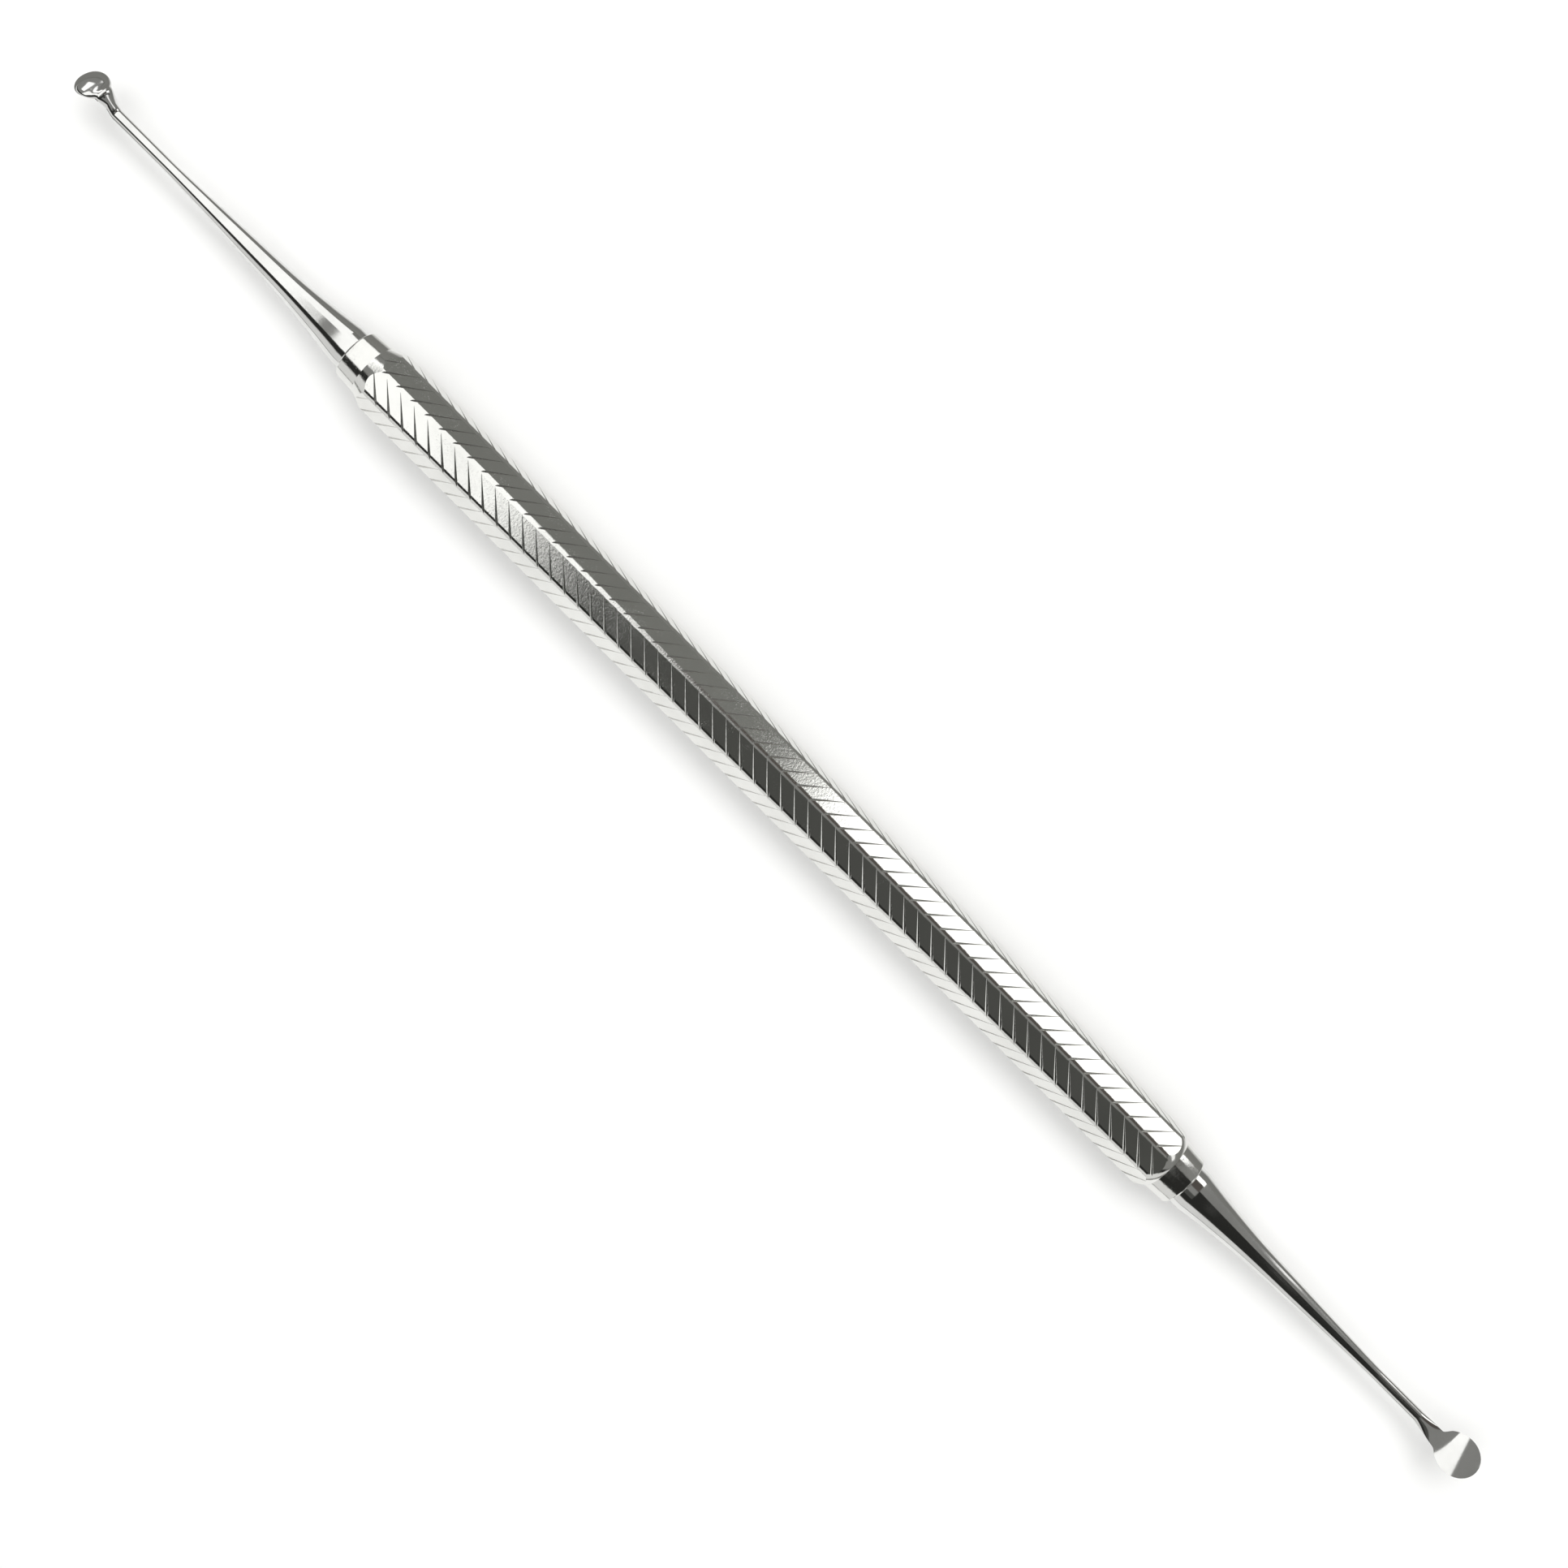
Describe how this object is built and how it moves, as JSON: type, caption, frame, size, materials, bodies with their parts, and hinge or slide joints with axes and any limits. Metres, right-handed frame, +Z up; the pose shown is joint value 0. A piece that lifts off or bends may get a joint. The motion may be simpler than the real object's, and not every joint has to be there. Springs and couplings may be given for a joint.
{
  "type": "double-ended spoon excavator",
  "caption": "Slim double-ended dental hand instrument: grooved octagonal grip with a long tapered shank and a small round spoon blade brazed into each end.",
  "frame": {"origin": "on the bottom flat of the octagonal grip, under the middle of the grip's length", "axes": "+X along the instrument towards the large spoon, +Z up out of the top flat, the bottom flat facing -Z"},
  "size_m": [0.1704, 0.006, 0.006],
  "materials": {
    "grip_steel": "bright polished stainless steel with fine tumbling marks",
    "tip_steel": "mirror polished hardened stainless steel",
    "braze": "polished silver braze"
  },
  "bodies": {
    "root": {"handle": "grip_steel", "large_spoon_tip": "tip_steel", "small_spoon_tip": "tip_steel", "large_end_braze": "braze", "small_end_braze": "braze"}
  },
  "joints": []
}
